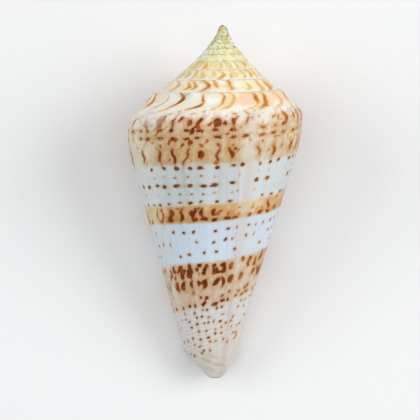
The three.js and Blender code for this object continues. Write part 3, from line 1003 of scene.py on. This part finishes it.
def shell_material():
    material = bpy.data.materials.new("shell")
    material.use_nodes = True
    nodes = Nodes(material)
    place = nodes.add("ShaderNodeTexCoord", {}).outputs["Object"]
    names = ("growth", "station", "band", "mark", "tone", "vigour", "warmth", "stain", "pink_line", "inside")
    fields = {name: nodes.attribute(name) for name in names}
    # The bands' borders wander a little.
    wander = nodes.math("SUBTRACT", nodes.noise(place, 900, 3), 0.5)
    fields["band"] = nodes.math("MULTIPLY_ADD", wander, 0.014, fields["band"])
    coloured = nodes.math("MAXIMUM", nodes.ramp(fields["band"], BAND_TOP, BAND_END, COLOURED), 0.0)
    ground = ground_colour(nodes, place, fields, coloured)
    colour = mark_colour(nodes, place, fields, coloured, ground)

    # Growth lines: fine streaks along old positions of the lip.
    def growth_lines(round_scale, down_scale, detail, roughness):
        across = nodes.math("MULTIPLY", fields["growth"], round_scale)
        along = nodes.vector(across, nodes.math("MULTIPLY", fields["band"], down_scale))
        return nodes.noise(along, 1.0, detail, roughness)

    lines = growth_lines(330.0, 5.0, 4, 0.65)
    broad_lines = growth_lines(90.0, 2.5, 3, 0.5)
    weak = nodes.step(fields["vigour"], 0.7, 0.25, 0.25, 1.0)
    brown = nodes.math("MULTIPLY", nodes.step(lines, 0.58, 0.7), nodes.math("MULTIPLY", weak, 0.4))
    colour = nodes.mix(brown, colour, shade(176, 140, 96))
    shadow = nodes.step(broad_lines, 0.35, 0.75)
    colour = nodes.mix(nodes.math("MULTIPLY", shadow, 0.1), colour, shade(176, 158, 136))

    # Pits and dirt on the old whorls, and a brown line in each suture.
    old = nodes.step(fields["growth"], -2.6, -4.2)
    specks = nodes.noise(place, 1900, 3, 0.7)
    oldest = nodes.step(fields["growth"], -4.5, -7.0, 0.6, 0.53)
    pits = nodes.math("MULTIPLY", nodes.step(specks, oldest, nodes.math("ADD", oldest, 0.06)), old)
    colour = nodes.mix(nodes.math("MULTIPLY", pits, 0.75), colour, shade(142, 124, 70))
    soiled = nodes.step(nodes.noise(place, 800, 3), 0.34, 0.56)
    seam = nodes.math("MULTIPLY", nodes.step(fields["station"], 0.16, 0.0), soiled)
    seam = nodes.math("MULTIPLY", seam, nodes.step(fields["growth"], -3.0, -4.5, 0.35, 0.75))
    colour = nodes.mix(seam, colour, shade(156, 126, 76))
    broken = nodes.step(nodes.noise(place, 1300, 3, 0.7), 0.4, 0.58, 0.35, 1.1)
    colour = nodes.mix(nodes.math("MULTIPLY", fields["stain"], broken), colour, shade(152, 141, 104))
    colour = nodes.mix(nodes.math("MULTIPLY", fields["pink_line"], 0.6), colour, shade(196, 132, 112))

    # The mouth and the lip's edge are plain porcelain white.
    colour = nodes.mix(fields["inside"], colour, shade(232, 228, 220))

    relief_lines = nodes.math("ADD", lines, nodes.math("MULTIPLY", broad_lines, 1.5))
    grain = nodes.noise(place, 2600, 3, 0.6)
    worn = nodes.math("MULTIPLY", grain, nodes.step(fields["growth"], -1.5, -4.0, 0.15, 1.6))
    height = nodes.math("ADD", relief_lines, nodes.math("SUBTRACT", worn, pits))
    bump_node = nodes.add("ShaderNodeBump", {"Height": height, "Strength": 0.45, "Distance": 0.00005})
    roughness = nodes.step(nodes.noise(place, 420, 3), 0.3, 0.7, 0.26, 0.4)
    roughness = nodes.math("ADD", roughness, nodes.step(fields["growth"], -1.5, -4.0, 0.0, 0.18))
    shader = material.node_tree.nodes["Principled BSDF"]
    shader.inputs["Specular IOR Level"].default_value = 0.06
    material.node_tree.links.new(colour, shader.inputs["Base Color"])
    material.node_tree.links.new(roughness, shader.inputs["Roughness"])
    material.node_tree.links.new(bump_node.outputs[0], shader.inputs["Normal"])
    return material


FLOOR_SIZE = 4
FLOOR_COLOUR, FLOOR_ROUGHNESS = (0.8, 0.8, 0.79, 1), 0.8


def make_floor():
    bpy.ops.mesh.primitive_plane_add(size=FLOOR_SIZE)
    floor = bpy.context.object
    floor.name = "floor"
    material = bpy.data.materials.new("floor")
    material.use_nodes = True
    shader = material.node_tree.nodes["Principled BSDF"]
    shader.inputs["Base Color"].default_value = FLOOR_COLOUR
    shader.inputs["Roughness"].default_value = FLOOR_ROUGHNESS
    floor.data.materials.append(material)
    floor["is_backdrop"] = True


# Soft lights: name, place from the shell's middle in metres, size in metres, and watts.
LIGHTS = (
    ("right", (0.5, 0.06, 0.42), 0.4, 2.7),
    ("left", (-0.5, 0.06, 0.4), 0.4, 1.5),
    ("sky", (0.0, 0.0, 0.7), 0.6, 1.5),
)
SKY_COLOUR, SKY_STRENGTH = (0.9, 0.93, 1, 1), 0.35


def make_light(name, place, size, watts, target):
    data = bpy.data.lights.new(name, "AREA")
    data.size = size
    data.energy = watts
    light = bpy.data.objects.new(name, data)
    light.location = place
    light.rotation_euler = (target - Vector(place)).to_track_quat("-Z", "Y").to_euler()
    bpy.context.scene.collection.objects.link(light)


# The view: square on to the back of the shell, three degrees towards the spire, leaning a little.
VIEW_TILT = math.radians(3.0)
VIEW_LEAN = math.radians(1.38)
# The width of the view, and where the tip of the spire stands from its middle, in millimetres.
FRAME_MM = 66.63
APEX_RIGHT, APEX_UP = 2.06, 29.35
LENS = 300
SENSOR = 36


def make_camera(shift):
    turn = resting_turn()
    toward = turn @ Vector((0, math.sin(VIEW_TILT), math.cos(VIEW_TILT)))
    up = turn @ Vector((0, math.cos(VIEW_TILT), -math.sin(VIEW_TILT)))
    right = turn @ Vector((1, 0, 0))
    sine, cosine = math.sin(VIEW_LEAN), math.cos(VIEW_LEAN)
    across, upward = right * cosine + up * sine, up * cosine - right * sine
    data = bpy.data.cameras.new("camera")
    data.lens = LENS
    data.sensor_width = SENSOR
    distance = FRAME_MM * LENS / SENSOR * MM
    apex = Vector(shift)
    middle = apex - across * APEX_RIGHT * MM - upward * APEX_UP * MM
    camera = bpy.data.objects.new("camera", data)
    rotation = Matrix((across, upward, toward)).transposed().to_4x4()
    camera.matrix_world = Matrix.Translation(middle + toward * distance) @ rotation
    bpy.context.scene.collection.objects.link(camera)
    bpy.context.scene.camera = camera


def make_sky():
    world = bpy.data.worlds.new("world")
    bpy.context.scene.world = world
    world.use_nodes = True
    sky = world.node_tree.nodes["Background"]
    sky.inputs["Color"].default_value = SKY_COLOUR
    sky.inputs["Strength"].default_value = SKY_STRENGTH


def main():
    shell, shift = make_shell()
    shell.data.materials.append(shell_material())
    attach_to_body(shell, "root")
    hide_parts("shell")
    make_floor()
    low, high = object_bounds()
    centre = (low + high) / 2
    for name, offset, size, watts in LIGHTS:
        make_light(name, centre + Vector(offset), size, watts, centre)
    make_sky()
    make_camera(shift)
    bpy.context.scene.view_settings.view_transform = "Standard"


main()
